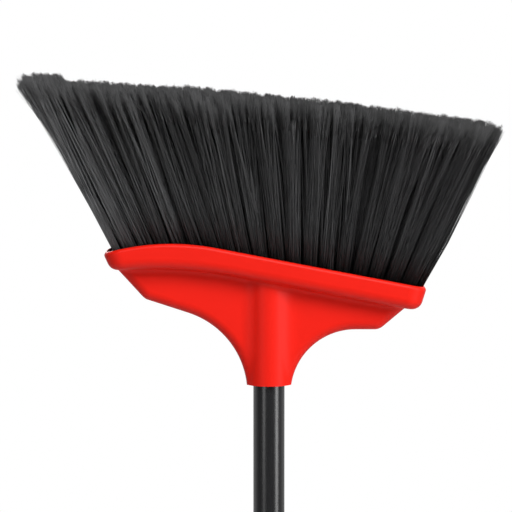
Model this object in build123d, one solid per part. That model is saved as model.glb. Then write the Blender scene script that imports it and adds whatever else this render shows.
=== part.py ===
from build123d import *
import math
import os

# Angle broom: a flared bristle head with a screw socket, on a long tube handle with a swivelling hang cap.
# Millimetres. +Z runs up the handle to the bristle tips, -X to the toe, +X to the heel and -Y to the front.
# The origin is on the handle's axis, at the mouth of the socket.

# Bristle face: the upper edge of the rim, straight from the heel and bent down at the toe
face_height = 91.6
face_slope = 10.8
bend_offset = 37.4
bend_radius = 168.0
toe_run = 80.5
heel_run = 151.4

# Rim round the bristle block
rim_height = 17.3
rim_depth = 50.0
rim_wall = 3.0
rim_corner_radius = 12.0
rim_edge_radius = 2.5
rim_under_radius = 7.5
toe_undercut = 2.6
heel_undercut = 2.0
under_bend = -25.0
under_radius = 290.0
pocket_depth = 11.3

# Wings and web below the rim
web_thickness = 18.0
web_wall = 3.0
web_edge_radius = 7.0
web_edge_wall = 4.5
cove_radius = 5.0
toe_shoulder = (-88.0, 61.2)
toe_wing_slope = 18.0
toe_flare_radius = 60.5
toe_wing_inset = 3.0
heel_shoulder = (78.2, 39.4)
heel_wing_slope = 0.0
heel_flare_radius = 46.0
heel_wing_inset = 3.9
shoulder_radius = 9.0
rib_thickness = 2.0
rib_places = (-68.0, -42.0, 42.0, 64.0)

# Socket for the handle
socket_diameter = 30.8
socket_blend = 18.0
socket_roof = 5.0
mouth_chamfer = 1.0

# Handle tube
tube_diameter = 22.2
tube_wall = 0.8
handle_length = 1219.0
swage_diameter = 21.2
swage_length = 20.0
swage_shoulder = 1.2
bead_depth = 1.0
bead_width = 4.0
bead_height = 10.0

# Screw thread of the tip and the socket
thread_diameter = 19.05
thread_height = 1.9
thread_lead = 5.08
thread_turns = 5
thread_flank = 14.5
thread_relief = 2.0
tip_collar = 2.0
tip_nose = 1.5

# Hang cap
hang_flange_diameter = 21.8
hang_flange_thickness = 3.0
hang_plug_length = 18.0
tongue_width = 18.0
tongue_thickness = 10.0
tongue_reach = 20.0
tongue_edge_radius = 1.5
hang_hole_diameter = 10.0

# Bristle block and its backing
backing_recess = 1.0
backing_thickness = 3.0
lug_length = 12.0
lug_height = 3.0
lug_reach = 1.0
lug_depth = 7.6
lug_runs = (20.0, 110.0)

# Tufts, in columns from the toe to the heel and rows from front to back
column_count = 19
row_count = 5
row_pitch = 8.4
end_margin = 1.5
tuft_diameter = 4.2
tuft_depth = 8.2
anchor_length = 5.6
anchor_width = 1.8
anchor_thickness = 0.5
anchor_depth = 6.2

# Strands, five to a tuft, fanned out to the trimmed slope of the tips
toe_lean = -26.0
middle_lean = -7.2
heel_lean = 28.2
row_lean = 8.0
strand_side = 1.1
strand_tip_side = 1.6
strand_root_offset = 1.3
strand_spread_across = 4.8
strand_spread_deep = 3.8
tip_height = 205.0
tip_slope = 5.7
tip_crown_radius = 2570.0

# Clearances
seat_gap = 0.2
slice_gap = 0.2
running_gap = 0.3
socket_gap = 0.4
thread_gap = 0.35
press_gap = 0.05
anchor_gap = 0.1

# How near a point lies to a plane that it counts as on
touching = 0.01

# Rounds of a search for where a line meets a curve
search_steps = 20

# Values worked out from the sizes above
slope = math.radians(face_slope)
bend_x = -bend_offset - bend_radius * math.sin(slope)
bend_z = face_height + bend_offset * math.tan(slope) - bend_radius * math.cos(slope)
socket_radius = socket_diameter / 2
tube_radius = tube_diameter / 2
swage_radius = swage_diameter / 2
tube_bottom = swage_length - handle_length
bead_z = tube_bottom + bead_height
collar_top = swage_length + tip_collar
thread_start = collar_top + thread_relief
thread_end = thread_start + thread_turns * thread_lead
tip_top = thread_end + thread_lead / 2
bore_top = tip_top + thread_relief
roof_top = bore_top + socket_roof
crest_radius = thread_diameter / 2
core_radius = crest_radius - thread_height
bore_radius = crest_radius + thread_gap
web_half = web_thickness / 2
pocket_half = rim_depth / 2 - rim_wall
pocket_corner = rim_corner_radius - rim_wall
block_half = pocket_half - seat_gap
block_inset = rim_wall + seat_gap
block_corner = pocket_corner - seat_gap
backing_bottom = backing_recess + backing_thickness
on_floor = (Align.CENTER, Align.CENTER, Align.MIN)


# The curve of the bristle face
def face_lean(run):
    """Lean of the face's normal in degrees, at a distance along the face from its bend."""
    return face_slope + min(0.0, math.degrees(run / bend_radius))


def face_point(run, depth=0.0):
    """Point at a distance along the face from its bend, heel positive, and at a depth below the face."""
    lean = math.radians(face_lean(run))
    along = max(0.0, run)
    radius = bend_radius - depth
    x = bend_x + radius * math.sin(lean) + along * math.cos(slope)
    z = bend_z + radius * math.cos(lean) - along * math.sin(slope)
    return Vector(x, 0, z)


def depth_below_face(point):
    """How far a point lies below the bristle face."""
    x = point.X - bend_x
    z = point.Z - bend_z
    if math.atan2(x, z) < slope:
        return bend_radius - math.hypot(x, z)
    return bend_radius - x * math.sin(slope) - z * math.cos(slope)


def toe_end(inset, depth):
    """Where the rim's slanting toe end, moved inward by an inset, stands at a depth."""
    return inset - toe_run + toe_undercut * depth / rim_height


def heel_end(inset, depth):
    """Where the rim's slanting heel end, moved inward by an inset, stands at a depth."""
    return heel_run - inset - heel_undercut * depth / rim_height


def face_curve(toe, heel, depth):
    """The arc, the line or both that follow the face at a depth, from one run to another."""
    bend = min(heel, 0.0)
    edges = []
    if toe < 0:
        middle = face_point((toe + bend) / 2, depth)
        edges.append(ThreePointArc(face_point(toe, depth), middle, face_point(bend, depth)))
    if heel > 0:
        edges.append(Line(face_point(max(toe, 0.0), depth), face_point(heel, depth)))
    return edges


def face_plate(high, low, top, bottom):
    """Profile between two depths, each with its own toe and heel runs."""
    ends = [Line(face_point(up, top), face_point(down, bottom)) for up, down in zip(high, low)]
    return make_face(face_curve(*high, top) + face_curve(*low, bottom) + ends)


def under_height(x):
    """Height of the rim's underside, which bends less than the face and so draws near to it at the toe."""
    start = face_height - under_bend * math.tan(slope) - rim_height / math.cos(slope)
    if x > under_bend:
        return start - (x - under_bend) * math.tan(slope)
    away = x - under_bend + under_radius * math.sin(slope)
    return start - under_radius * math.cos(slope) + math.sqrt(under_radius**2 - away**2)


def under_point(x):
    """Point on the rim's underside."""
    return Vector(x, 0, under_height(x))


def end_corner(end):
    """Where one of the rim's slanting ends meets its underside."""
    depth = rim_height
    for _ in range(search_steps):
        point = face_point(end(0, depth), depth)
        depth += point.Z - under_height(point.X)
    return point


def across(outline, half_depth):
    """Extrude a profile of the X-Z plane to both sides of it."""
    return extrude(outline, half_depth, dir=(0, 1, 0), both=True)


def band(top, bottom, inset, half_depth, corner_radius):
    """A plate that follows the face between two depths, with its upright corners rounded."""
    high = (toe_end(inset, top), heel_end(inset, top))
    low = (toe_end(inset, bottom), heel_end(inset, bottom))
    plate = across(face_plate(high, low, top, bottom), half_depth)
    return fillet(upright_edges(plate, (bottom - top) / 2), corner_radius)


def upright_edges(plate, rise):
    """The edges that rise by more than a distance towards the face."""
    return [
        edge
        for edge in plate.edges()
        if abs(depth_below_face(edge @ 0) - depth_below_face(edge @ 1)) > rise
    ]


def edges_at_depth(solid, depth):
    """The edges that lie at one depth below the face."""
    return [
        edge
        for edge in solid.edges()
        if all(abs(depth_below_face(edge @ place) - depth) < touching for place in (0, 0.5, 1))
    ]


def under_edges(solid):
    """The edges that lie on the rim's underside."""
    return [
        edge
        for edge in solid.edges()
        if all(abs((edge @ place).Z - under_height((edge @ place).X)) < touching for place in (0, 0.5, 1))
    ]


def upright(radius, bottom, top):
    """A round bar on the handle's axis."""
    return Pos(0, 0, bottom) * Cylinder(radius, top - bottom, align=on_floor)


def turned(points):
    """A solid turned about the handle's axis from the radii and heights of its outline."""
    return revolve(make_face(Polyline(*[(radius, 0, z) for radius, z in points], close=True)), Axis.Z)


# Head cap
def rim():
    """The band round the bristle block, with its corners and edges rounded."""
    toe = end_corner(toe_end)
    heel = end_corner(heel_end)
    bend = under_point(under_bend)
    under = [ThreePointArc(toe, under_point((toe.X + under_bend) / 2), bend), Line(bend, heel)]
    ends = [Line(face_point(-toe_run), toe), Line(face_point(heel_run), heel)]
    shell = across(make_face(face_curve(-toe_run, heel_run, 0) + under + ends), rim_depth / 2)
    shell = fillet(upright_edges(shell, pocket_depth / 2), rim_corner_radius)
    shell = fillet(edges_at_depth(shell, 0), rim_edge_radius)
    return fillet(under_edges(shell), rim_under_radius)


def wing_edges(shoulder, wing_slope, flare_radius, side, rim_point):
    """One wing's outline, from a point in the rim, round its shoulder and down its flare to the socket."""
    tilt = math.radians(wing_slope)
    normal = Vector(-side * math.sin(tilt), 0, math.cos(tilt))
    corner = Vector(shoulder[0], 0, shoulder[1])
    centre_x = side * (socket_radius + flare_radius)
    centre_z = (corner.dot(normal) - flare_radius - centre_x * normal.X) / normal.Z
    centre = Vector(centre_x, 0, centre_z)
    start = centre + normal * flare_radius
    foot = -mouth_chamfer - centre_z
    end = centre + Vector(-side * math.sqrt(flare_radius**2 - foot**2), 0, foot)
    middle = centre + ((start + end) / 2 - centre).normalized() * flare_radius
    return [Line(rim_point, corner), Line(corner, start), ThreePointArc(start, middle, end)]


def web_outline(top):
    """The silhouette of both wings and the middle, up to a depth inside the rim."""
    toe = toe_wing_inset - toe_run
    heel = heel_run - heel_wing_inset
    toe_wing = wing_edges(toe_shoulder, toe_wing_slope, toe_flare_radius, -1, face_point(toe, top))
    heel_wing = wing_edges(heel_shoulder, heel_wing_slope, heel_flare_radius, 1, face_point(heel, top))
    foot = Line(toe_wing[-1] @ 1, heel_wing[-1] @ 1)
    outline = make_face(toe_wing + [foot] + heel_wing + face_curve(toe, heel, top))
    corners = [
        vertex
        for vertex in outline.vertices()
        if any(math.hypot(vertex.X - x, vertex.Z - z) < touching for x, z in (toe_shoulder, heel_shoulder))
    ]
    return fillet(corners, shoulder_radius)


def web():
    """Both wings and the middle as one plate, with its lower edges rounded."""
    plate = across(web_outline(rim_height / 2), web_half)
    lower = [
        edge
        for edge in plate.edges()
        if all(abs(abs((edge @ end).Y) - web_half) < touching for end in (0, 1))
        and max(depth_below_face(edge @ place) for place in (0, 0.5, 1)) > rim_height / 2 + touching
        and max((edge @ end).Z for end in (0, 1)) > 0
    ]
    return fillet(lower, web_edge_radius)


def neck():
    """The wings and the outside of the socket, which runs into them in a wide blend."""
    solid = web() + upright(socket_radius, -mouth_chamfer, face_height)
    corners = [
        edge
        for edge in solid.edges()
        if all(abs(abs((edge @ place).Y) - web_half) < touching for place in (0, 0.5, 1))
        and all(abs(math.hypot((edge @ end).X, (edge @ end).Y) - socket_radius) < touching for end in (0, 1))
    ]
    return fillet(corners, socket_blend)


def web_hollow():
    """The hollow of the wings, crossed by ribs, round the socket and open to the block's pocket."""
    outline = offset(web_outline(pocket_depth / 2 - web_edge_wall), -web_edge_wall)
    hollow = across(outline, web_half - web_wall)
    hollow -= upright(socket_radius - web_wall / 2, -socket_diameter, roof_top)
    ribs = [Pos(place, 0, 0) * Box(rib_thickness, web_thickness, 2 * tip_height) for place in rib_places]
    return hollow - ribs


def thread_ridge(root_radius, top_radius, start, turns):
    """A helical ridge that narrows from its root to its top, alike on the tip and in the socket."""
    middle = crest_radius - thread_height / 2
    half_width = (thread_lead / 2 - thread_gap) / 2
    narrowing = math.tan(math.radians(thread_flank))
    root_half = half_width + abs(root_radius - middle) * narrowing
    top_half = half_width - abs(top_radius - middle) * narrowing
    section = Polyline(
        (root_radius, 0, -root_half),
        (top_radius, 0, -top_half),
        (top_radius, 0, top_half),
        (root_radius, 0, root_half),
        close=True,
    )
    path = Helix(thread_lead, turns * thread_lead, middle)
    return Pos(0, 0, start) * sweep(make_face(section), path=path, is_frenet=True)


def lug(run, side, gap=0.0):
    """A snap lug on the block's side or, with a gap, the slot that it clicks into."""
    place = face_point(run, lug_depth)
    bar = Box(lug_length + 2 * gap, 2 * (lug_reach + gap), lug_height + 2 * gap)
    return Pos(place.X, side * block_half, place.Z) * Rot(0, face_lean(run), 0) * bar


def lugs(gap=0.0):
    """The lugs, or slots, along both sides of the block."""
    return [lug(run, side, gap) for run in lug_runs for side in (-1, 1)]


def head_cap():
    """The red moulding: rim, wings and threaded socket, hollow inside."""
    shell = rim() + neck()
    junction = [
        edge
        for edge in under_edges(shell)
        if all(web_half - touching < abs((edge @ place).Y) < socket_radius + touching for place in (0, 0.5, 1))
    ]
    shell = fillet(junction, cove_radius)
    shell -= band(-rim_height, pocket_depth, rim_wall, pocket_half, pocket_corner)
    shell -= web_hollow()
    shell -= upright(socket_radius - web_wall, roof_top, face_height)
    shell -= upright(2 * socket_radius, -socket_diameter, 0)
    counterbore = swage_radius + socket_gap
    shell -= upright(counterbore, -mouth_chamfer, collar_top + seat_gap)
    shell -= Pos(0, 0, mouth_chamfer / 2) * Cone(counterbore + mouth_chamfer, counterbore, mouth_chamfer)
    shell -= upright(bore_radius, collar_top, bore_top)
    shell -= lugs(running_gap)
    ridge_start = thread_start + thread_lead / 2
    ridge_turns = (thread_end - ridge_start) / thread_lead
    return shell + thread_ridge(bore_radius + thread_gap, core_radius + thread_gap, ridge_start, ridge_turns)


# Bristle block and tufts
middle_depth = backing_recess + backing_thickness / 2
first_run = toe_end(block_inset, middle_depth) + end_margin
last_run = heel_end(block_inset, middle_depth) - end_margin
column_pitch = (last_run - first_run) / column_count
outer_row = (row_count - 1) / 2
row_stagger = column_pitch / 4


def tip_level(x):
    """Height of the trimmed tips above a place across the broom."""
    return tip_height - x * math.tan(math.radians(tip_slope)) - x**2 / (2 * tip_crown_radius)


def tuft_lean(run):
    """Lean in radians of the tufts rooted at a distance along the face."""
    share = (run - first_run) / (last_run - first_run) * 2 - 1
    bow = (heel_lean + toe_lean) / 2 - middle_lean
    return math.radians(middle_lean + (heel_lean - toe_lean) / 2 * share + bow * share**2)


def tuft_plane(column, row):
    """A tuft's place on the backing, with the plane's Z axis along the tuft."""
    stagger = row_stagger if row % 2 else -row_stagger
    run = first_run + (column + 0.5) * column_pitch + stagger
    lean = tuft_lean(run)
    level = row - outer_row
    tilt = math.radians(row_lean * level / outer_row)
    root = face_point(run, backing_recess) + Vector(0, level * row_pitch, 0)
    along = Vector(math.tan(lean), math.tan(tilt), 1)
    return Plane(root, x_dir=Vector(math.cos(lean), 0, -math.sin(lean)), z_dir=along)


def tuft_root(plane):
    """The folded root of a tuft, with a window where the anchor crosses its fold."""
    length = tuft_depth - backing_thickness / 2
    root = Pos(0, 0, -tuft_depth) * Cylinder(tuft_diameter / 2, length, align=on_floor)
    return plane * (root - anchor(anchor_gap))


def anchor(gap=0.0):
    """A flat wire across a tuft's fold, or with a gap the room that it takes."""
    wire = Box(anchor_length + 2 * gap, anchor_thickness + 2 * gap, anchor_width + 2 * gap)
    return Pos(0, 0, -anchor_depth) * wire


def tuft_hole():
    """The blind hole for a tuft, with the cuts that its anchor is driven into."""
    depth = tuft_depth + anchor_gap
    hole = Pos(0, 0, -depth) * Cylinder(tuft_diameter / 2 + anchor_gap, depth, align=on_floor)
    return hole + anchor(anchor_gap)


def tuft_tip(plane):
    """Where a tuft's middle line meets the trimmed slope."""
    reach = tip_height - plane.origin.Z
    for _ in range(search_steps):
        point = plane.origin + plane.z_dir * reach
        reach += (tip_level(point.X) - point.Z) / plane.z_dir.Z
    return plane.origin + plane.z_dir * reach


def strand(plane, tip, across_place, deep_place):
    """One four-sided strand from inside the backing to the trimmed slope."""
    root = (
        plane.origin
        - plane.z_dir * (backing_thickness / 2)
        + plane.x_dir * (across_place * strand_root_offset)
        + plane.y_dir * (deep_place * strand_root_offset)
    )
    x = tip.X + across_place * strand_spread_across
    end = Vector(x, tip.Y + deep_place * strand_spread_deep, tip_level(x))
    ends = [(root, strand_side), (end, strand_tip_side)]
    squares = [
        Plane(point, x_dir=plane.x_dir, z_dir=end - root) * Rectangle(side, side) for point, side in ends
    ]
    return loft(squares, ruled=True)


def tufts(column):
    """The roots and strands of one column's tufts."""
    pieces = []
    for row in range(row_count):
        plane = tuft_plane(column, row)
        tip = tuft_tip(plane)
        pieces.append(tuft_root(plane))
        pieces.append(strand(plane, tip, 0, 0))
        pieces += [strand(plane, tip, i, j) for i in (-1, 1) for j in (-1, 1)]
    return pieces


def backing_slice(column, room):
    """One column's share of the backing, cut off along its tufts' lean and fitted to the room in the rim."""
    start = first_run + column * column_pitch
    end = start + column_pitch
    drifts = [
        backing_thickness * math.tan(tuft_lean(run) - math.radians(face_lean(run))) for run in (start, end)
    ]
    start += slice_gap / 2
    end -= slice_gap / 2
    if column == 0:
        start -= end_margin + toe_undercut
    if column == column_count - 1:
        end += end_margin + heel_undercut
    low = (start - drifts[0], end - drifts[1])
    return room & across(face_plate((start, end), low, backing_recess, backing_bottom), rim_depth)


def bristle_block():
    """The plate under the backing, drilled for the tufts and held by its lugs."""
    plate = band(backing_bottom + seat_gap, pocket_depth - seat_gap, block_inset, block_half, block_corner)
    plate += lugs()
    hole = tuft_hole()
    places = [(column, row) for column in range(column_count) for row in range(row_count)]
    return plate - [tuft_plane(*place) * hole for place in places]


# Handle
def wall_line(inward):
    """The tube's wall from its swaged end to its far end, moved inward by a distance."""
    pinched = tube_radius - bead_depth
    outer = [
        (swage_radius, swage_length),
        (swage_radius, swage_shoulder),
        (tube_radius, 0),
        (tube_radius, bead_z + bead_width / 2),
        (pinched, bead_z + bead_width / 4),
        (pinched, bead_z - bead_width / 4),
        (tube_radius, bead_z - bead_width / 2),
        (tube_radius, tube_bottom),
    ]
    return [(radius - inward, z) for radius, z in outer]


def handle_tube():
    """The long tube, swaged at its screwed end and with a rolled bead that keeps the hang cap."""
    return turned(wall_line(0) + wall_line(tube_wall)[::-1])


def threaded_tip():
    """The plug, collar and screw in the swaged end of the tube."""
    plug_radius = swage_radius - tube_wall - press_gap
    body = turned(
        [
            (0, 2 * swage_shoulder),
            (plug_radius, 2 * swage_shoulder),
            (plug_radius, swage_length),
            (swage_radius, swage_length),
            (swage_radius, collar_top),
            (core_radius, collar_top),
            (core_radius, tip_top - tip_nose),
            (core_radius - tip_nose, tip_top),
            (0, tip_top),
        ]
    )
    return body + thread_ridge(core_radius - thread_gap, crest_radius, thread_start, thread_turns)


def hang_cap():
    """The swivelling cap: a grooved plug in the tube, a flange and a tongue with the hang hole."""
    plug_radius = tube_radius - tube_wall - running_gap
    groove_radius = plug_radius - bead_depth
    groove_half = bead_width / 2 + running_gap
    flange_top = tube_bottom - running_gap
    flange_bottom = flange_top - hang_flange_thickness
    body = turned(
        [
            (0, flange_bottom),
            (hang_flange_diameter / 2, flange_bottom),
            (hang_flange_diameter / 2, flange_top),
            (plug_radius, flange_top),
            (plug_radius, bead_z - groove_half),
            (groove_radius, bead_z - groove_half),
            (groove_radius, bead_z + groove_half),
            (plug_radius, bead_z + groove_half),
            (plug_radius, tube_bottom + hang_plug_length),
            (0, tube_bottom + hang_plug_length),
        ]
    )
    half = tongue_width / 2
    hole_z = flange_bottom - tongue_reach
    sides = [Line((x, 0, flange_bottom), (x, 0, hole_z)) for x in (-half, half)]
    end = ThreePointArc((-half, 0, hole_z), (0, 0, hole_z - half), (half, 0, hole_z))
    top = Line((-half, 0, flange_bottom), (half, 0, flange_bottom))
    tongue = across(make_face(sides + [end, top]), tongue_thickness / 2)
    outer = [
        edge
        for edge in tongue.edges()
        if (edge @ 0.5).Z < flange_bottom - touching and abs((edge @ 0).Y - (edge @ 1).Y) < touching
    ]
    tongue = fillet(outer, tongue_edge_radius)
    hole = Pos(0, 0, hole_z) * Rot(90, 0, 0) * Cylinder(hang_hole_diameter / 2, 2 * tongue_thickness)
    return body + tongue - hole


def pieces():
    """Every piece of the broom by its name."""
    room = band(-rim_height, pocket_depth, block_inset, block_half, block_corner)
    named = {"head_cap": head_cap(), "bristle_block": bristle_block()}
    wires = []
    for column in range(column_count):
        named[f"tuft_column_{column + 1:02d}"] = backing_slice(column, room).fuse(*tufts(column))
        wires += [tuft_plane(column, row) * anchor() for row in range(row_count)]
    named["tuft_anchors"] = Compound(children=wires)
    named["handle_tube"] = handle_tube()
    named["threaded_tip"] = threaded_tip()
    named["hang_cap"] = hang_cap()
    return named


if __name__ == "__main__":
    os.makedirs("parts", exist_ok=True)
    for name, piece in pieces().items():
        export_step(piece, f"parts/{name}.step")
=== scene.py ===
import math

import bmesh
import bpy
import numpy as np
from bpy.props import FloatProperty, FloatVectorProperty, IntProperty, PointerProperty
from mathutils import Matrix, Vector


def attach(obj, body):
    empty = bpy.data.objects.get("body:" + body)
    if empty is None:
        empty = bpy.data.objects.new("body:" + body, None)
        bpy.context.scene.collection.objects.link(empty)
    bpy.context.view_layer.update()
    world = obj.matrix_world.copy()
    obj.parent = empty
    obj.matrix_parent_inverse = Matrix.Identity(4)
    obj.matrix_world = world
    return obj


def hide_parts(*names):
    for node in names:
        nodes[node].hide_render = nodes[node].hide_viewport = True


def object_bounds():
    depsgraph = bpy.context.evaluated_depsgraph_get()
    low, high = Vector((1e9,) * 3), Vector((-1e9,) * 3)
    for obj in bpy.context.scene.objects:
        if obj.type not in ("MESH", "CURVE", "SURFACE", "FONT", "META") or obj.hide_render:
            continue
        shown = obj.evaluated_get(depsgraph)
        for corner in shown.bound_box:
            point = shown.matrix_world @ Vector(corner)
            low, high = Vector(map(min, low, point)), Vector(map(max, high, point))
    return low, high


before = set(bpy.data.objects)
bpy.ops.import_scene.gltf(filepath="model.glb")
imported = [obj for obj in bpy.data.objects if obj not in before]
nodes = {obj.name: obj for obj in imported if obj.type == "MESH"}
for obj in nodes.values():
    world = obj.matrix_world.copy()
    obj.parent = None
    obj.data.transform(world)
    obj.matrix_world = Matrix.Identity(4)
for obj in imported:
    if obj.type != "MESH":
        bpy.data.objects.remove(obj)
cad_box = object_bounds()
column_names = sorted(name for name in nodes if name.startswith("tuft_column_"))

bl_info = {
    "name": "Angle Broom",
    "version": (1, 0, 0),
    "blender": (4, 5, 0),
    "location": "View3D > Sidebar > Broom",
    "description": "Grows the bristles of an angle broom and finishes its head and handle",
    "category": "Object",
}


# Sizes and colours
class FaceSizes(bpy.types.PropertyGroup):
    """The curve of the bristle face, straight from the heel and bent down at the toe."""

    height: FloatProperty(
        name="Height",
        description="Height of the face above the socket's mouth",
        default=0.0916,
        unit="LENGTH",
    )
    slope: FloatProperty(
        name="Slope", description="Fall of the straight part", default=math.radians(10.8), subtype="ANGLE"
    )
    bend_offset: FloatProperty(
        name="Bend offset",
        description="Distance of the bend from the handle's axis",
        default=0.0374,
        unit="LENGTH",
    )
    bend_radius: FloatProperty(
        name="Bend radius", description="Radius of the bent part", default=0.168, unit="LENGTH"
    )
    toe_run: FloatProperty(
        name="Toe run",
        description="Length of the tufted part on the toe side",
        default=0.0754,
        unit="LENGTH",
    )
    heel_run: FloatProperty(
        name="Heel run",
        description="Length of the tufted part on the heel side",
        default=0.1464,
        unit="LENGTH",
    )
    recess: FloatProperty(
        name="Recess",
        description="Depth of the backing below the rim's edge",
        default=0.001,
        unit="LENGTH",
    )
    skim: FloatProperty(
        name="Skim",
        description="How far below its top each backing slice is trimmed",
        default=0.00025,
        unit="LENGTH",
    )


class TuftSizes(bpy.types.PropertyGroup):
    """How the tufts stand on the face and fan out to the trimmed slope."""

    rows: IntProperty(name="Rows", description="Tufts from front to back", default=5, min=2)
    row_pitch: FloatProperty(
        name="Row pitch", description="Distance between the rows", default=0.0084, unit="LENGTH"
    )
    toe_lean: FloatProperty(
        name="Toe lean",
        description="Lean of the tufts at the toe",
        default=math.radians(-26.0),
        subtype="ANGLE",
    )
    middle_lean: FloatProperty(
        name="Middle lean",
        description="Lean of the middle tufts",
        default=math.radians(-7.2),
        subtype="ANGLE",
    )
    heel_lean: FloatProperty(
        name="Heel lean",
        description="Lean of the tufts at the heel",
        default=math.radians(27.4),
        subtype="ANGLE",
    )
    row_lean: FloatProperty(
        name="Row lean",
        description="Lean of the front and back rows",
        default=math.radians(6.5),
        subtype="ANGLE",
    )
    tip_height: FloatProperty(
        name="Tip height",
        description="Height of the trimmed slope on the handle's axis",
        default=0.2064,
        unit="LENGTH",
    )
    tip_slope: FloatProperty(
        name="Tip slope",
        description="Fall of the trimmed slope",
        default=math.radians(5.45),
        subtype="ANGLE",
    )
    crown_radius: FloatProperty(
        name="Crown radius", description="Radius of the slope's long crown", default=2.57, unit="LENGTH"
    )
    toe_lift: FloatProperty(
        name="Toe lift",
        description="Extra length of the bristles at the very toe",
        default=0.0042,
        unit="LENGTH",
    )
    # Painted highlight: the toe's tufts are made paler to stand in for the light that they catch.
    toe_painted_glint: FloatProperty(
        name="Toe paler",
        description="How much paler the tufts at the toe are",
        default=0.6,
        min=0.0,
        max=1.0,
    )
    crowd: FloatProperty(
        name="Crowd", description="How far out the end tufts' bristles crowd", default=0.5, min=0.0, max=1.0
    )
    toe_foot: FloatProperty(
        name="Toe foot",
        description="Least distance of the toe tufts' feet from their middle",
        default=0.0,
        unit="LENGTH",
    )
    toe_tip: FloatProperty(
        name="Toe tip", description="Outward spread left to the toe tufts' tips", default=1.3, min=0.0
    )
    toe_corner: FloatProperty(
        name="Toe corner", description="Height of the blunt corner at the toe", default=0.007, unit="LENGTH"
    )
    toe_flare: FloatProperty(
        name="Toe flare",
        description="How far the toe tufts bow inward before their tips",
        default=0.0066,
        unit="LENGTH",
    )
    toe_reach: FloatProperty(
        name="Toe reach",
        description="Distance of the blunt end from the handle's axis",
        default=0.1742,
        unit="LENGTH",
    )
    heel_bow: FloatProperty(
        name="Heel bow",
        description="How far the heel tufts bow outward above their feet",
        default=0.005,
        unit="LENGTH",
    )
    heel_foot: FloatProperty(
        name="Heel foot", description="Shift of the outer feet at the heel", default=0.002, unit="LENGTH"
    )
    heel_tip: FloatProperty(
        name="Heel tip", description="Outward spread left to the heel tufts' tips", default=0.6, min=0.0
    )
    root_across: FloatProperty(
        name="Root across",
        description="Radius of a tuft's foot from toe to heel",
        default=0.0048,
        unit="LENGTH",
    )
    root_deep: FloatProperty(
        name="Root deep",
        description="Radius of a tuft's foot from front to back",
        default=0.0026,
        unit="LENGTH",
    )
    spread_across: FloatProperty(
        name="Spread across",
        description="Radius of a tuft's tip from toe to heel",
        default=0.0128,
        unit="LENGTH",
    )
    spread_deep: FloatProperty(
        name="Spread deep",
        description="Radius of a tuft's tip from front to back",
        default=0.011,
        unit="LENGTH",
    )
    sway: FloatProperty(
        name="Sway", description="How far a whole tuft wanders at its tip", default=0.002, unit="LENGTH"
    )
    uneven: FloatProperty(
        name="Uneven", description="Difference in the lengths of the tufts", default=0.0004, unit="LENGTH"
    )
    wave: FloatProperty(
        name="Wave", description="Height of the waves in the trimmed slope", default=0.0012, unit="LENGTH"
    )


class BristleSizes(bpy.types.PropertyGroup):
    """One bristle, and how much the bristles of a tuft differ."""

    count: IntProperty(name="Count", description="Bristles in a tuft", default=120, min=1)
    inner_count: IntProperty(
        name="Inner count", description="Extra bristles in the middle row", default=80, min=0
    )
    wisps: IntProperty(
        name="Wisps", description="Wisps that a tuft's bristles cling together in", default=18, min=1
    )
    lobes: IntProperty(name="Lobes", description="Paler and darker lobes across a tuft", default=5, min=1)
    lobe_cling: FloatProperty(
        name="Lobe cling",
        description="How far the bristles draw together in a lobe",
        default=0.4,
        min=0.0,
        max=1.0,
    )
    cling: FloatProperty(
        name="Cling", description="Width of a wisp as a share of its tuft", default=0.06, min=0.0, max=1.0
    )
    inner_cling: FloatProperty(
        name="Inner cling",
        description="How much wider the wisps of the middle row are",
        default=0.25,
        min=0.0,
    )
    foot_cling: FloatProperty(
        name="Foot cling", description="How much of that shows at the feet", default=0.4, min=0.0, max=1.0
    )
    radius: FloatProperty(name="Radius", description="Radius of a bristle", default=0.00026, unit="LENGTH")
    flare: FloatProperty(
        name="Flare",
        description="How far the outer bristles turn out at their tips",
        default=0.0015,
        unit="LENGTH",
    )
    stray: FloatProperty(
        name="Stray",
        description="How far a bristle wanders sideways at its tip",
        default=0.0007,
        unit="LENGTH",
    )
    uneven: FloatProperty(
        name="Uneven", description="How far a wisp stops short of the slope", default=0.003, unit="LENGTH"
    )
    split_start: FloatProperty(
        name="Split start",
        description="Where a bristle splits, as a share of its length",
        default=0.82,
        min=0.0,
        max=1.0,
    )
    split_throw: FloatProperty(
        name="Split throw", description="How far the split ends part, in bristle radii", default=3.6, min=0.0
    )
    seed: IntProperty(name="Seed", description="Number that the random differences start from", default=7)


class FinishColours(bpy.types.PropertyGroup):
    """Base colours of the finishes."""

    red_moulding: FloatVectorProperty(
        name="Red moulding", description="Moulded head cap", default=(0.87, 0.011, 0.003), subtype="COLOR"
    )
    bristle_dark: FloatVectorProperty(
        name="Bristle dark",
        description="Darkest bristles",
        default=(0.0265, 0.0265, 0.0274),
        subtype="COLOR",
    )
    # Partly painted glint: the palest bristles are made pale enough to stand in for highlights on the
    # fibres.
    bristle_pale_and_glint: FloatVectorProperty(
        name="Bristle pale", description="Palest bristles", default=(0.13, 0.13, 0.1335), subtype="COLOR"
    )
    flagged_tip: FloatVectorProperty(
        name="Flagged tip",
        description="Split ends of the bristles",
        default=(0.05, 0.05, 0.0512),
        subtype="COLOR",
    )
    black_coat: FloatVectorProperty(
        name="Black coat",
        description="Gloss coat of the tube",
        default=(0.006, 0.006, 0.007),
        subtype="COLOR",
    )
    black_plastic: FloatVectorProperty(
        name="Black plastic",
        description="Hang cap and threaded tip",
        default=(0.012, 0.012, 0.013),
        subtype="COLOR",
    )
    block_plastic: FloatVectorProperty(
        name="Block plastic",
        description="Bristle block and backing",
        default=(0.02, 0.02, 0.021),
        subtype="COLOR",
    )
    anchor_wire: FloatVectorProperty(
        name="Anchor wire",
        description="Flat wires across the tufts",
        default=(0.55, 0.55, 0.56),
        subtype="COLOR",
    )


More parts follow.
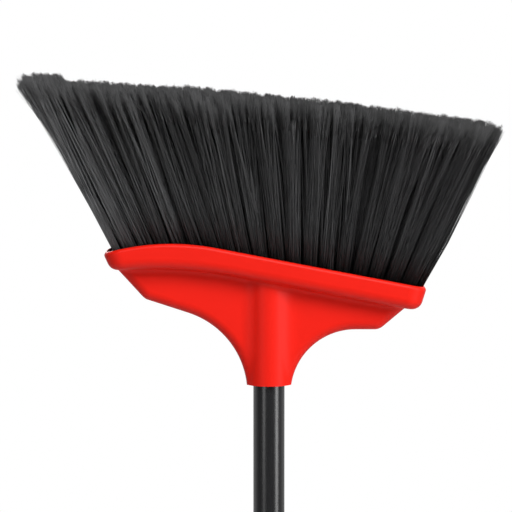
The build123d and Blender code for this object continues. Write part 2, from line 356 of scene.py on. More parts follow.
class StageSizes(bpy.types.PropertyGroup):
    """Camera, lamps and floor."""

    aim: FloatVectorProperty(
        name="Aim",
        description="Point that the camera looks at",
        default=(-0.0092, 0.0, 0.0914),
        subtype="XYZ",
    )
    distance: FloatProperty(
        name="Distance", description="From the camera to that point", default=2.0, unit="LENGTH"
    )
    elevation: FloatProperty(
        name="Elevation",
        description="Height of the camera as an angle",
        default=math.radians(4.5),
        subtype="ANGLE",
    )
    view_width: FloatProperty(
        name="View width", description="Width of the picture at the handle", default=0.363, unit="LENGTH"
    )
    key_power: FloatProperty(name="Key", description="Wide lamp above in front", default=24.8, unit="POWER")
    right_power: FloatProperty(
        name="Right strip", description="Tall lamp at the right", default=24.0, unit="POWER"
    )
    left_power: FloatProperty(
        name="Left lamp", description="Low square lamp at the left", default=2.8, unit="POWER"
    )
    back_power: FloatProperty(name="Back fill", description="Wide lamp behind", default=20.0, unit="POWER")
    room_light: FloatProperty(
        name="Room light", description="Even light from all round", default=0.15, min=0.0
    )
    floor_radius: FloatProperty(
        name="Floor radius", description="Radius of the round floor", default=3.0, unit="LENGTH"
    )
    floor_gap: FloatProperty(
        name="Floor gap",
        description="Room below the broom for the handle to draw out",
        default=0.026,
        unit="LENGTH",
    )
    floor_colour: FloatVectorProperty(
        name="Floor colour", description="Pale matt floor", default=(0.88, 0.88, 0.88), subtype="COLOR"
    )


# Shader maths
class Wire:
    """A node's output. Sums on it add Math nodes, so that a pattern reads as an expression."""

    def __init__(self, shader, socket):
        self.shader = shader
        self.socket = socket

    def math(self, operation, first, second=0.0):
        return self.shader.node("ShaderNodeMath", {"operation": operation}, {0: first, 1: second})

    def __add__(self, other):
        return self.math("ADD", self, other)

    def __radd__(self, other):
        return self.math("ADD", other, self)

    def __rsub__(self, other):
        return self.math("SUBTRACT", other, self)

    def __mul__(self, other):
        return self.math("MULTIPLY", self, other)

    def __rmul__(self, other):
        return self.math("MULTIPLY", other, self)

    def __pow__(self, other):
        return self.math("POWER", self, other)

    def __abs__(self):
        return self.math("ABSOLUTE", self)

    def band(self, zero_at, one_at):
        """0 up to the first value, 1 from the second on and smooth between. Either may be the larger."""
        falling = zero_at > one_at
        return self.shader.node(
            "ShaderNodeMapRange",
            {"interpolation_type": "SMOOTHSTEP"},
            {
                "Value": self,
                "From Min": min(zero_at, one_at),
                "From Max": max(zero_at, one_at),
                "To Min": 1.0 if falling else 0.0,
                "To Max": 0.0 if falling else 1.0,
            },
        )


class Shader:
    """A node tree in the making."""

    def __init__(self, owner):
        owner.use_nodes = True
        self.tree = owner.node_tree
        self.tree.nodes.clear()

    def node(self, kind, settings=None, inputs=None, output=0):
        """Adds a node, sets it up, fills or links its sockets and gives one of its outputs."""
        made = self.tree.nodes.new(kind)
        for name, value in (settings or {}).items():
            setattr(made, name, value)
        for name, value in (inputs or {}).items():
            if isinstance(value, Wire):
                self.tree.links.new(value.socket, made.inputs[name])
            else:
                made.inputs[name].default_value = value
        return Wire(self, made.outputs[output]) if made.outputs else None

    def place(self):
        """The point on the surface, in the broom's own metres."""
        return self.node("ShaderNodeTexCoord", output="Object")

    def axes(self, place):
        """A point's three distances."""
        return [self.node("ShaderNodeSeparateXYZ", None, {0: place}, name) for name in "XYZ"]

    def ray(self, kind):
        """1 for rays of one kind, such as Is Camera Ray, and 0 for the others."""
        return self.node("ShaderNodeLightPath", output=kind)

    def noise(self, place, scale, detail=2.0, stretch=(1.0, 1.0, 1.0)):
        """Cloudy noise from 0 to 1, finer with a larger scale."""
        placed = self.node("ShaderNodeMapping", None, {"Vector": place, "Scale": stretch})
        inputs = {"Vector": placed, "Scale": scale, "Detail": detail}
        return self.node("ShaderNodeTexNoise", None, inputs, "Fac")

    def mix(self, share, first, second):
        """Blend of two colours. The node's colours are its inputs 6 and 7 and its output 2."""
        settings = {"data_type": "RGBA"}
        return self.node("ShaderNodeMix", settings, {"Factor": share, 6: first, 7: second}, 2)

    def shades(self, share, colour, darkest, palest):
        """Blend from a colour's darkest shade to its palest."""
        return self.mix(share, shade(colour, darkest), shade(colour, palest))

    def bump(self, height, depth):
        """Normal of a surface raised by a height from 0 to 1 times a depth in metres."""
        return self.node("ShaderNodeBump", None, {"Height": height, "Distance": depth, "Strength": 1.0})

    def surface(self, **sockets):
        """Ends the tree in a Principled shader. Underscores in the names stand for spaces."""
        inputs = {name.replace("_", " "): value for name, value in sockets.items()}
        shader = self.node("ShaderNodeBsdfPrincipled", None, inputs)
        self.node("ShaderNodeOutputMaterial", None, {"Surface": shader})


def shade(colour, share=1.0):
    """A colour times a share, with full alpha."""
    return (*[value * share for value in colour], 1.0)


# Finishes
def red_moulding_finish(colour):
    """Satin moulded plastic with a fine grain, faint flow marks and a parting line down the edges."""
    smoothest = 0.40
    flow_roughness = 0.06
    grain_roughness = 0.06
    grain_height = 0.55
    cloud_height = 0.3
    parting_height = 1.6
    material = bpy.data.materials.new("red_moulding")
    shader = Shader(material)
    place = shader.place()
    _, y, z = shader.axes(place)
    flow = shader.noise(place, scale=22.0, detail=3.0, stretch=(1.0, 1.0, 0.45))
    grain = shader.noise(place, scale=2600.0)
    clouds = shader.noise(place, scale=160.0)
    parting = abs(y).band(zero_at=0.00032, one_at=0.00012) * z.band(zero_at=0.088, one_at=0.07)
    relief = grain * grain_height + clouds * cloud_height + parting * parting_height
    shader.surface(
        Base_Color=shader.shades(flow, colour, darkest=0.93, palest=1.05),
        Roughness=smoothest + flow * flow_roughness + grain * grain_roughness,
        Normal=shader.bump(relief, depth=0.00004),
        Specular_IOR_Level=0.23,
    )
    return material


def bristle_finish(dark, pale, tip):
    """Charcoal fibre that differs from bristle to bristle, with paler split ends; a painted highlight makes
    the ends palest towards the toe and a painted shade makes them darker towards the heel.
    """
    smoothest = 0.38
    split_roughness = 0.3
    tone_roughness = 0.08
    pale_rarity = 2.8
    pale_lead = 0.08
    # painted highlight: the paler split ends start lower towards the toe
    toe_glint_lead = 0.04
    material = bpy.data.materials.new("bristle_fibre")
    shader = Shader(material)
    chart = shader.node("ShaderNodeUVMap", {"uv_map": "along"})
    tone, along, _ = shader.axes(chart)
    x, _, _ = shader.axes(shader.place())
    toeward = x.band(zero_at=0.06, one_at=-0.06)
    split = (along + tone * pale_lead + toeward * toe_glint_lead).band(zero_at=0.92, one_at=1.03)
    body = shader.mix(tone**pale_rarity, shade(dark), shade(pale))
    # painted shade at the heel and painted highlight at the toe: the split ends' colour runs from darker at
    # the heel to paler at the toe
    heel_shaded_ends = shader.shades(tone, tip, darkest=0.0, palest=1.9)
    toe_glint_ends = shader.shades(tone, tip, darkest=1.0, palest=2.1)
    ends = shader.mix(toeward, heel_shaded_ends, toe_glint_ends)
    shader.surface(
        Base_Color=shader.mix(split, body, ends),
        Roughness=smoothest + split * split_roughness + tone * tone_roughness,
        Specular_IOR_Level=0.58,
    )
    return material


def gloss_coat_finish(colour):
    """Gloss black coat on drawn tube, with a faint orange peel and hair scratches along it."""
    smoothest = 0.22
    scratch_roughness = 0.1
    material = bpy.data.materials.new("black_gloss_coat")
    shader = Shader(material)
    place = shader.place()
    peel = shader.noise(place, scale=420.0, detail=1.0)
    scratch = shader.noise(place, scale=900.0, stretch=(1.0, 1.0, 0.02))
    shader.surface(
        Base_Color=shader.shades(scratch, colour, darkest=0.8, palest=1.6),
        Roughness=smoothest + scratch * scratch_roughness,
        Normal=shader.bump(peel, depth=0.000012),
        Specular_IOR_Level=1.0,
    )
    return material


def plain_plastic_finish(name, colour, smoothest, gloss=0.5):
    """Satin or matt moulded plastic with a fine grain."""
    flow_roughness = 0.08
    grain_roughness = 0.08
    material = bpy.data.materials.new(name)
    shader = Shader(material)
    place = shader.place()
    flow = shader.noise(place, scale=60.0)
    grain = shader.noise(place, scale=2200.0)
    shader.surface(
        Base_Color=shader.shades(flow, colour, darkest=0.75, palest=1.3),
        Roughness=smoothest + flow * flow_roughness + grain * grain_roughness,
        Normal=shader.bump(grain, depth=0.00003),
        Specular_IOR_Level=gloss,
    )
    return material


def wire_finish(colour):
    """Drawn flat steel wire with streaks along its length."""
    smoothest = 0.28
    streak_roughness = 0.2
    material = bpy.data.materials.new("anchor_wire")
    shader = Shader(material)
    streak = shader.noise(shader.place(), scale=1800.0, stretch=(0.1, 1.0, 1.0))
    shader.surface(
        Base_Color=shader.shades(streak, colour, darkest=0.8, palest=1.1),
        Roughness=smoothest + streak * streak_roughness,
        Metallic=1.0,
    )
    return material


def dress(name, material):
    """Gives a node of the frame its finish."""
    slots = nodes[name].data.materials
    slots.clear()
    slots.append(material)


# Bristle face and trimmed slope
row_places = (0.25, 0.75)  # where a tuft stands in its column's width, in even and odd rows
tip_rounds = 20  # rounds in which a tuft's tip settles on the trimmed slope

# Each wave in the trimmed slope: length across, length from front to back, signed by its slant, and phase
trim_waves = ((0.0151, 0.31, 0.4), (0.0083, -0.25, 2.1), (0.0047, 0.19, 4.4))


def face_lean(face, run):
    """Lean of the face at a distance along it from the bend, heel positive."""
    return face.slope + min(0.0, run / face.bend_radius)


def face_point(face, run, depth):
    """Point at a distance along the face and a depth below it."""
    centre_x = -face.bend_offset - face.bend_radius * math.sin(face.slope)
    rise = face.bend_offset * math.tan(face.slope)
    centre_z = face.height + rise - face.bend_radius * math.cos(face.slope)
    lean = face_lean(face, run)
    radius = face.bend_radius - depth
    straight = max(0.0, run)
    x = centre_x + radius * math.sin(lean) + straight * math.cos(face.slope)
    z = centre_z + radius * math.cos(lean) - straight * math.sin(face.slope)
    return Vector((x, 0.0, z))


def column_run(face, column, share):
    """Distance along the face from the bend to a share of a column's width."""
    pitch = (face.toe_run + face.heel_run) / len(column_names)
    return (column + share) * pitch - face.toe_run


def tip_level(tufts, x):
    """Height of the trimmed slope above a place across the broom."""
    return tufts.tip_height - x * math.tan(tufts.tip_slope) - x**2 / (2 * tufts.crown_radius)


def trim_wave(tufts, x, y):
    """Unevenness of the trimmed slope: waves of a few lengths that cross each other."""
    total = sum(np.sin(2 * math.pi * (x / across + y / deep) + phase) for across, deep, phase in trim_waves)
    return tufts.wave * total / len(trim_waves)


def tuft_line(face, tufts, column, row):
    """Root, two side directions, direction and tip of one tuft."""
    run = column_run(face, column, row_places[row % 2])
    share = (run + face.toe_run) / (face.toe_run + face.heel_run) * 2 - 1
    bow = (tufts.heel_lean + tufts.toe_lean) / 2 - tufts.middle_lean
    lean = tufts.middle_lean + (tufts.heel_lean - tufts.toe_lean) / 2 * share + bow * share**2
    outer = (tufts.rows - 1) / 2
    level = row - outer
    tilt = tufts.row_lean * level / outer
    root = face_point(face, run, face.recess) + Vector((0.0, level * tufts.row_pitch, 0.0))
    along = Vector((math.tan(lean), math.tan(tilt), 1.0)).normalized()
    across = Vector((math.cos(lean), 0.0, -math.sin(lean)))
    deep = along.cross(across)
    tip = root.copy()
    for _ in range(tip_rounds):
        tip += along * ((tip_level(tufts, tip.x) - tip.z) / along.z)
    return root, across, deep, along, tip


# One bristle, in shares of its length and in radii
bristle_sides = 3
stem_length = 0.9
stem_tip = 0.8  # radius of the stem's upper end
stem_cuts = (0.3, 0.6, 0.8)  # heights of the cuts that let the stem bend
flag_offset = 0.4  # distance of a flag's middle from the bristle's
flag_foot = 0.5  # radius of a flag's lower end
flag_tip = 0.28  # radius of a flag's upper end
flag_pick_height = 0.93  # above the stem's end and below every flag's
flag_pick_reach = 0.3  # just past the radius of a flag's upper end

# Direction, share of the throw and height of each split end
flags = ((0.0, 1.0, 1.0), (2.2, 0.7, 0.985), (4.3, 0.85, 0.992))


def deselect_all():
    """Leaves nothing selected, so that an operator acts only on what is added or picked next."""
    if bpy.context.object and bpy.context.object.mode != "OBJECT":
        bpy.ops.object.mode_set(mode="OBJECT")
    bpy.ops.object.select_all(action="DESELECT")


def pick_vertices(piece, test):
    """Selects the vertices, and what lies between them, whose place passes a test. In edit mode."""
    bpy.ops.mesh.select_mode(type="VERT")
    bpy.ops.mesh.select_all(action="DESELECT")
    shape = bmesh.from_edit_mesh(piece.data)
    for vertex in shape.verts:
        vertex.select = test(vertex.co)
    shape.select_flush_mode()
    bmesh.update_edit_mesh(piece.data)


def add_cone(foot, tip, length, place):
    """Adds a closed, tapered stick with a bristle's number of sides, centred on a place."""
    bpy.ops.mesh.primitive_cone_add(
        vertices=bristle_sides,
        radius1=foot,
        radius2=tip,
        depth=length,
        end_fill_type="NGON",
        location=place,
    )


def model_bristle(split_start, split_throw):
    """One bristle of unit length and unit radius: three-sided, with its end split into three flags."""
    deselect_all()
    add_cone(1.0, stem_tip, stem_length, (0.0, 0.0, stem_length / 2))
    bristle = bpy.context.object
    bpy.ops.object.transform_apply(location=True, rotation=True, scale=True)
    bpy.ops.object.mode_set(mode="EDIT")
    for height in stem_cuts:
        bpy.ops.mesh.select_all(action="SELECT")
        bpy.ops.mesh.bisect(plane_co=(0.0, 0.0, height), plane_no=(0.0, 0.0, 1.0))
    for angle, share, top in flags:
        side = Vector((math.cos(angle), math.sin(angle), 0.0))
        length = top - split_start
        middle = side * flag_offset + Vector((0.0, 0.0, split_start + length / 2))
        add_cone(flag_foot, flag_tip, length, middle)
        pick_vertices(
            bristle,
            lambda place: place.z > flag_pick_height and (place.xy - middle.xy).length < flag_pick_reach,
        )
        bpy.ops.transform.translate(value=side * (share * split_throw))
    bpy.ops.object.mode_set(mode="OBJECT")
    mesh = bristle.data
    places = np.array([vertex.co for vertex in mesh.vertices])
    faces = [tuple(face.vertices) for face in mesh.polygons]
    bpy.data.objects.remove(bristle)
    bpy.data.meshes.remove(mesh)
    return places, faces


# Tufts
wisp_scatter = 0.5  # spread of the wisps, in tuft radii
foot_scatter = 0.55  # spread of the feet, in foot radii
root_sink = 0.001  # how far the feet start below the backing's face
edge_wander = 0.3  # share of the sway and stray that the end columns have
reach_ease = 0.6  # share that is taken back of what goes past the toe's reach
toe_start = 0.143  # distance from the handle's axis at which the toe's extra length begins
toe_ramp = 0.007  # distance over which it grows
outer_short = 1.4  # how short the outer rows fall, in shares of the bristles' unevenness
inner_gain = 1.2  # how much less the middle row does
lobe_short = 0.6  # share of that for a whole lobe
wisp_short = 0.5  # for a wisp
single_short = 0.2  # for a single bristle
lobe_short_limit = 0.008
wisp_short_limit = 0.014
stiffness = 0.3  # how far a bristle keeps its tuft's direction as it leaves its foot
least_tone = 0.1
wisp_tone = 0.25  # difference in tone from wisp to wisp
lobe_tone = 0.42  # from lobe to lobe
single_tone = 0.08  # from bristle to bristle
inner_dark = 0.2  # how much darker the middle row is
# painted highlight: columns over which the toe's paler tone fades
toe_glint_columns = 5  # columns over which the toe's paler tone fades
seeds_apart = 100  # room for each seed's columns
weld_distance = 0.000002  # how far apart the loose corners of a copied node may be that belong together


def within_disc(points):
    """Points, with those outside the unit disc drawn in to its edge."""
    return points / np.maximum(1.0, np.linalg.norm(points, axis=1, keepdims=True))


class Tuft:
    """One tuft's bristles. Paths, tones and sides are asked for in that order, that of the random draws."""

    def __init__(self, scene, column, row, draw):
        self.sizes = scene.broom_tufts
        self.bristles = scene.broom_bristles
        self.column = column
        self.draw = draw
        line = tuft_line(scene.broom_face, self.sizes, column, row)
        self.root, self.across, self.deep, self.along, self.tip = (np.array(part) for part in line)
        outer = (self.sizes.rows - 1) / 2
        self.inward = 1 - abs(row - outer) / outer
        self.edge = (column == len(column_names) - 1) - (column == 0)
        self.loose = 1.0 if self.edge else self.inward
        self.count = self.bristles.count + round(self.bristles.inner_count * self.loose)
        self.lobes = self.bristles.lobes + 2  # two more, because the lobes start at a random shift
        self.wisp = draw.integers(0, self.bristles.wisps, self.count)
        self.lobe, self.disc = self.gather()
        self.toeward = np.clip(-self.disc[:, 0] / self.sizes.crowd, 0, 1) * (self.edge < 0)
        self.heelward = np.clip(self.disc[:, 0] / self.sizes.crowd, 0, 1) * (self.edge > 0)

    def gather(self):
        """Each bristle's lobe and its place in the tuft's unit disc, near its wisp and its lobe's middle."""
        bristles = self.bristles
        cling = bristles.cling + bristles.inner_cling * self.loose
        wisps = self.draw.normal(0, wisp_scatter, (bristles.wisps, 2))
        disc = within_disc(wisps[self.wisp] + self.draw.normal(0, cling, (self.count, 2)))
        shift = self.draw.uniform(0, 1)
        lobe = ((disc[:, 0] + 1) * bristles.lobes / 2 + shift).astype(int)
        middle = (lobe + 0.5 - shift) * 2 / bristles.lobes - 1
        disc[:, 0] += (middle - disc[:, 0]) * bristles.lobe_cling * (1 - self.loose)
        crowd = self.sizes.crowd
        crowded = self.edge * crowd * self.draw.uniform(0, 1, self.count) ** 0.5
        disc[:, 0] = np.where(self.edge * disc[:, 0] > crowd, crowded, disc[:, 0])
        return lobe, disc

    def feet(self):
        """Where the bristles start in the backing."""
        sizes = self.sizes
        scatter = self.draw.normal(0, foot_scatter, (self.count, 2))
        foot = within_disc(self.disc * self.bristles.foot_cling + scatter)
        foot = foot * (sizes.root_across, sizes.root_deep)
        if self.edge < 0:
            foot[:, 0] = np.maximum(foot[:, 0], sizes.toe_foot)
        foot[:, 0] = np.minimum(foot[:, 0] + self.heelward * sizes.heel_foot, sizes.root_across)
        return self.root + foot[:, :1] * self.across + foot[:, 1:] * self.deep - self.along * root_sink

    def tips(self):
        """Where the bristles end, at the trimmed slope or a little short of it."""
        sizes = self.sizes
        bristles = self.bristles
        draw = self.draw
        fan = self.disc * (sizes.spread_across, sizes.spread_deep)
        heel_spread = np.where(self.heelward > 0, sizes.heel_tip, 1.0)
        fan[:, 0] *= np.where(self.toeward > 0, sizes.toe_tip, heel_spread)
        wander = edge_wander if self.edge else 1.0
        end = np.empty((self.count, 3))
        end[:, :2] = self.tip[:2] + draw.normal(0, sizes.sway * wander, 2) + fan
        end[:, :2] += draw.normal(0, bristles.stray * wander, (self.count, 2))
        end[:, 0] += np.maximum(0.0, -sizes.toe_reach - end[:, 0]) * reach_ease
        toe = np.clip((-toe_start - end[:, 0]) / toe_ramp, 0, 1)
        end[:, 2] = tip_level(sizes, end[:, 0]) + draw.normal(0, sizes.uneven) + toe * sizes.toe_lift
        end[:, 2] += trim_wave(sizes, end[:, 0], end[:, 1])
        short = bristles.uneven * (outer_short - inner_gain * self.inward)
        lobes = draw.exponential(short * lobe_short, self.lobes)
        wisps = draw.exponential(short * wisp_short, bristles.wisps)
        end[:, 2] -= np.minimum(lobes, lobe_short_limit)[self.lobe]
        end[:, 2] -= np.minimum(wisps, wisp_short_limit)[self.wisp]
        end[:, 2] -= draw.exponential(short * single_short, self.count)
        return end

    def paths(self):
        """The four points of each bristle's Bezier curve."""
        start = self.feet()
        end = self.tips()
        chord = end - start
        length = np.linalg.norm(chord, axis=1, keepdims=True)
        second = start + (self.along * length * stiffness + chord * (1 - stiffness)) / 3
        third = start + chord * 2 / 3
        third[:, :2] -= self.disc * self.bristles.flare
        second[:, 0] += self.heelward * self.sizes.heel_bow
        third[:, 0] += self.toeward * self.sizes.toe_flare
        end[:, 2] -= self.toeward * self.sizes.toe_corner * self.draw.uniform(0, 1, self.count)
        return start, second, third, end

    def tones(self):
        """How pale each bristle is, from 0 to 1, with a painted highlight that makes the tufts at the toe
        paler.
        """
        wisps = self.draw.uniform(0, 1, self.bristles.wisps)
        tone = least_tone + wisp_tone * wisps[self.wisp] + self.draw.normal(0, single_tone, self.count)
        lobes = self.draw.uniform(0, 1, self.lobes)
        tone += lobe_tone * lobes[self.lobe] - inner_dark * self.inward
        # painted highlight: tufts near the toe are made paler, fading over the first columns
        paler = self.sizes.toe_painted_glint * max(0.0, 1 - self.column / toe_glint_columns)
        return np.clip(tone + paler, 0.0, 1.0)

    def sides(self):
        """Two directions across each bristle, turned at random."""
        turn = self.draw.uniform(0, 2 * math.pi, self.count)[:, None]
        side = np.cos(turn) * self.across + np.sin(turn) * self.deep
        other = np.cos(turn) * self.deep - np.sin(turn) * self.across
        return side, other


def bristle_points(paths, sides, places, radius):
    """Every bristle's vertices, laid along its own curve."""
    step = places[:, 2][None, :, None]
    first, second, third, last = (point[:, None, :] for point in paths)
    curve = first * (1 - step) ** 3 + 3 * second * (1 - step) ** 2 * step
    curve = curve + 3 * third * (1 - step) * step**2 + last * step**3
    width = radius * (places[:, 0][None, :, None] * sides[0][:, None, :])
    depth = radius * (places[:, 1][None, :, None] * sides[1][:, None, :])
    return curve + width + depth


def backing_piece(face, column):
    """A column's slice of backing with the folded roots below it: a copy of the node, trimmed off above."""
    deselect_all()
    node = nodes[column_names[column]]
    slab = node.copy()
    slab.data = node.data.copy()
    for key in list(slab.keys()):
        del slab[key]
    slab.parent = None
    slab.name = "bristles_%02d" % (column + 1)
    bpy.context.scene.collection.objects.link(slab)
    bpy.context.view_layer.objects.active = slab
    slab.select_set(True)
    run = column_run(face, column, 0.5)
    lean = face_lean(face, run)
    bpy.ops.object.mode_set(mode="EDIT")
    bpy.ops.mesh.select_all(action="SELECT")
    bpy.ops.mesh.remove_doubles(threshold=weld_distance)
    bpy.ops.mesh.select_all(action="SELECT")
    bpy.ops.mesh.bisect(
        plane_co=face_point(face, run, face.recess + face.skim),
        plane_no=(math.sin(lean), 0.0, math.cos(lean)),
        use_fill=True,
        clear_outer=True,
    )
    bpy.ops.object.mode_set(mode="OBJECT")
    return slab


def grow_column(scene, column, bristle):
    """The bristles of one column of tufts, each a copy of one bristle, with a UV map of tone and height."""
    places, faces = bristle
    draw = np.random.default_rng(scene.broom_bristles.seed * seeds_apart + column)
    points = []
    tones = []
    for row in range(scene.broom_tufts.rows):
        tuft = Tuft(scene, column, row, draw)
        paths = tuft.paths()
        tones.append(tuft.tones())
        points.append(bristle_points(paths, tuft.sides(), places, scene.broom_bristles.radius))
    points = np.concatenate(points)
    tones = np.concatenate(tones)
    size = len(places)
    corners = [
        tuple(index + number * size for index in corner) for number in range(len(points)) for corner in faces
    ]
    grown = bpy.data.meshes.new("grown")
    grown.from_pydata(points.reshape(-1, 3), [], corners)
    chart = grown.uv_layers.new(name="along")
    which = np.empty(len(grown.loops), np.int32)
    grown.loops.foreach_get("vertex_index", which)
    values = np.stack([tones[which // size], places[which % size, 2]], 1)
    chart.data.foreach_set("uv", values.astype(np.float32).ravel())
    grown.shade_smooth()
    strands = bpy.data.objects.new("grown", grown)
    scene.collection.objects.link(strands)
    return strands


# Pieces
class BROOM_OT_head_cap(bpy.types.Operator):
    """Finish the head cap as red moulded plastic"""

    bl_idname = "broom.head_cap"
    bl_label = "Finish Head Cap"

    def execute(self, context):
        colours = context.scene.broom_colours
        dress("head_cap", red_moulding_finish(colours.red_moulding))
        return {"FINISHED"}


class BROOM_OT_bristles(bpy.types.Operator):
    """Grow the tufts, column by column, in place of their thick stand-ins"""

    bl_idname = "broom.bristles"
    bl_label = "Grow Bristles"

    def execute(self, context):
        colours = context.scene.broom_colours
        fibre = bristle_finish(colours.bristle_dark, colours.bristle_pale_and_glint, colours.flagged_tip)
        backing = plain_plastic_finish("backing_plastic", colours.block_plastic, smoothest=0.5, gloss=0.0)
        sizes = context.scene.broom_bristles
        bristle = model_bristle(sizes.split_start, sizes.split_throw)
        for column, name in enumerate(column_names):
            slab = backing_piece(context.scene.broom_face, column)
            slab.data.materials.clear()
            slab.data.materials.append(backing)
            strands = grow_column(context.scene, column, bristle)
            strands.data.materials.append(fibre)
            deselect_all()
            slab.select_set(True)
            strands.select_set(True)
            context.view_layer.objects.active = slab
            bpy.ops.object.join()
            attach(slab, "head")
            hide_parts(name)
        return {"FINISHED"}


class BROOM_OT_block(bpy.types.Operator):
    """Finish the drilled block and the wires that hold the tufts in it"""

    bl_idname = "broom.block"
    bl_label = "Finish Block and Wires"

    def execute(self, context):
        colours = context.scene.broom_colours
        dress("bristle_block", plain_plastic_finish("block_plastic", colours.block_plastic, smoothest=0.48))
        dress("tuft_anchors", wire_finish(colours.anchor_wire))
        return {"FINISHED"}


class BROOM_OT_handle(bpy.types.Operator):
    """Finish the gloss tube and its threaded tip"""

    bl_idname = "broom.handle"
    bl_label = "Finish Handle"

    def execute(self, context):
        colours = context.scene.broom_colours
        dress("handle_tube", gloss_coat_finish(colours.black_coat))
        dress("threaded_tip", plain_plastic_finish("tip_plastic", colours.black_plastic, smoothest=0.36))
        return {"FINISHED"}


class BROOM_OT_hang_cap(bpy.types.Operator):
    """Finish the swivelling hang cap"""

    bl_idname = "broom.hang_cap"
    bl_label = "Finish Hang Cap"

    def execute(self, context):
        colours = context.scene.broom_colours
        dress("hang_cap", plain_plastic_finish("hang_cap_plastic", colours.black_plastic, smoothest=0.38))
        return {"FINISHED"}


# Stage
white = (1.0, 1.0, 1.0, 1.0)
floor_sides = 96
floor_glow = 0.35  # share of white in the floor round the broom, as the camera sees it
fade_start = 0.3  # where the floor begins to fade to white, as a share of its radius
fade_end = 0.85  # where it is white
front_glow = 0.12  # how bright the room in front looks in reflections
backdrop_glow = 0.38  # what the backdrop adds to that behind the broom
upper_glow = 0.5  # what the backdrop's upper part adds

# Place, aim, width and height of each lamp
lamps = {
    "key_lamp": ((0.4, -1.25, 1.15), (0.0, 0.0, 0.1), 1.2, 0.8),
    "right_strip": ((1.82, -1.05, 0.5), (0.0, 0.0, 0.05), 0.8, 2.2),
    "left_lamp": ((-1.26, -1.68, -0.05), (0.0, 0.0, 0.0), 0.6, 0.6),
    "back_fill": ((-0.3, 1.7, 0.9), (0.0, 0.0, 0.1), 1.4, 1.0),
}


def lamp(name, power):
    """A soft rectangular lamp that faces its aim."""
    place, aim, width, height = lamps[name]
    deselect_all()
    bpy.ops.object.light_add(type="AREA", location=place)
    made = bpy.context.object
    made.name = name
    made.rotation_euler = (Vector(aim) - Vector(place)).to_track_quat("-Z", "Y").to_euler()
    made.data.shape = "RECTANGLE"
    made.data.size = width
    made.data.size_y = height
    made.data.energy = power


def studio_world(room_light):
    """White to the camera, a dim room with a paler backdrop to reflections, and even soft light."""
    world = bpy.data.worlds.new("studio")
    bpy.context.scene.world = world
    shader = Shader(world)
    seen = shader.ray("Is Camera Ray")
    mirrored = shader.ray("Is Glossy Ray") + shader.ray("Is Transmission Ray")
    direction = shader.node("ShaderNodeTexCoord", output="Generated")
    _, depth, height = shader.axes(direction)
    upper = height.band(zero_at=-0.05, one_at=0.2)
    behind = depth.band(zero_at=-0.15, one_at=0.5)
    backdrop = front_glow + behind * (backdrop_glow + upper_glow * upper)
    strength = seen + (1 - seen) * (mirrored * backdrop + (1 - mirrored) * room_light)
    light = shader.node("ShaderNodeBackground", None, {"Color": white, "Strength": strength})
    shader.node("ShaderNodeOutputWorld", None, {"Surface": light})


def floor_finish(colour, radius):
    """Pale matt floor that fades to white at its edge for the camera."""
    material = bpy.data.materials.new("studio_floor")
    shader = Shader(material)
    x, y, _ = shader.axes(shader.place())
    away = (x * x + y * y) ** 0.5
    matt = shader.node("ShaderNodeBsdfDiffuse", None, {"Color": shade(colour)})
    glow = shader.node("ShaderNodeEmission", None, {"Color": white, "Strength": 1.0})
    faded = away.band(zero_at=radius * fade_start, one_at=radius * fade_end)
    share = shader.ray("Is Camera Ray") * (floor_glow + (1 - floor_glow) * faded)
    mixed = shader.node("ShaderNodeMixShader", None, {0: share, 1: matt, 2: glow})
    shader.node("ShaderNodeOutputMaterial", None, {"Surface": mixed})
    return material


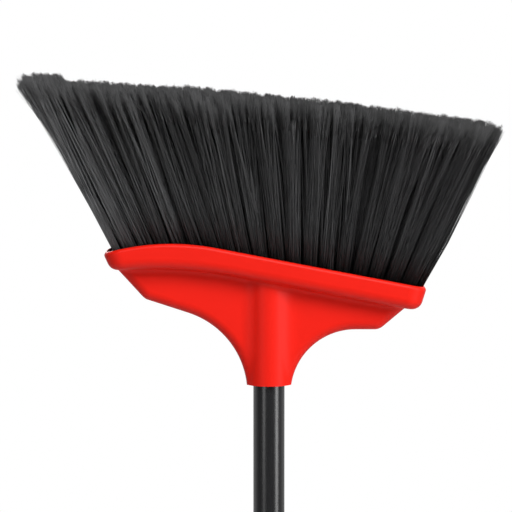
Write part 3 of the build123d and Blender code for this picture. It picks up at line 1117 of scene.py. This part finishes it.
class BROOM_OT_stage(bpy.types.Operator):
    """Set up the floor, the lamps, the white surroundings and the camera"""

    bl_idname = "broom.stage"
    bl_label = "Set Up Stage"

    def execute(self, context):
        stage = context.scene.broom_stage
        deselect_all()
        bpy.ops.mesh.primitive_circle_add(
            vertices=floor_sides,
            radius=stage.floor_radius,
            fill_type="NGON",
            location=(0.0, 0.0, cad_box[0].z - stage.floor_gap),
        )
        floor = context.object
        floor.name = "studio_floor"
        bpy.ops.object.transform_apply(location=True, rotation=True, scale=True)
        floor.data.materials.append(floor_finish(stage.floor_colour, stage.floor_radius))
        lamp("key_lamp", stage.key_power)
        lamp("right_strip", stage.right_power)
        lamp("left_lamp", stage.left_power)
        lamp("back_fill", stage.back_power)
        studio_world(stage.room_light)
        deselect_all()
        back = Vector((0.0, -math.cos(stage.elevation), math.sin(stage.elevation)))
        bpy.ops.object.camera_add(location=Vector(stage.aim) + back * stage.distance)
        camera = context.object
        camera.name = "photo_camera"
        camera.rotation_euler = (-back).to_track_quat("-Z", "Y").to_euler()
        camera.data.lens = camera.data.sensor_width * stage.distance / stage.view_width
        context.scene.camera = camera
        context.scene.view_settings.view_transform = "Standard"
        return {"FINISHED"}


class BROOM_PT_panel(bpy.types.Panel):
    """Steps and sizes of the broom"""

    bl_idname = "BROOM_PT_panel"
    bl_label = "Angle Broom"
    bl_space_type = "VIEW_3D"
    bl_region_type = "UI"
    bl_category = "Broom"

    def draw(self, context):
        layout = self.layout
        for step in steps:
            layout.operator(step.bl_idname)
        for title in groups:
            box = layout.box()
            box.label(text=title.replace("broom_", "").capitalize())
            sizes = getattr(context.scene, title)
            for name in sizes.bl_rna.properties.keys():
                if name not in ("rna_type", "name"):
                    box.prop(sizes, name)


groups = {
    "broom_face": FaceSizes,
    "broom_tufts": TuftSizes,
    "broom_bristles": BristleSizes,
    "broom_colours": FinishColours,
    "broom_stage": StageSizes,
}
steps = (
    BROOM_OT_head_cap,
    BROOM_OT_bristles,
    BROOM_OT_block,
    BROOM_OT_handle,
    BROOM_OT_hang_cap,
    BROOM_OT_stage,
)


def register():
    for title, group in groups.items():
        bpy.utils.register_class(group)
        setattr(bpy.types.Scene, title, PointerProperty(type=group))
    for part in (*steps, BROOM_PT_panel):
        bpy.utils.register_class(part)


def unregister():
    for part in (BROOM_PT_panel, *steps):
        bpy.utils.unregister_class(part)
    for title, group in groups.items():
        delattr(bpy.types.Scene, title)
        bpy.utils.unregister_class(group)


def main():
    register()
    bpy.ops.broom.head_cap()
    bpy.ops.broom.bristles()
    bpy.ops.broom.block()
    bpy.ops.broom.handle()
    bpy.ops.broom.hang_cap()
    bpy.ops.broom.stage()


if __name__ == "__main__":
    main()
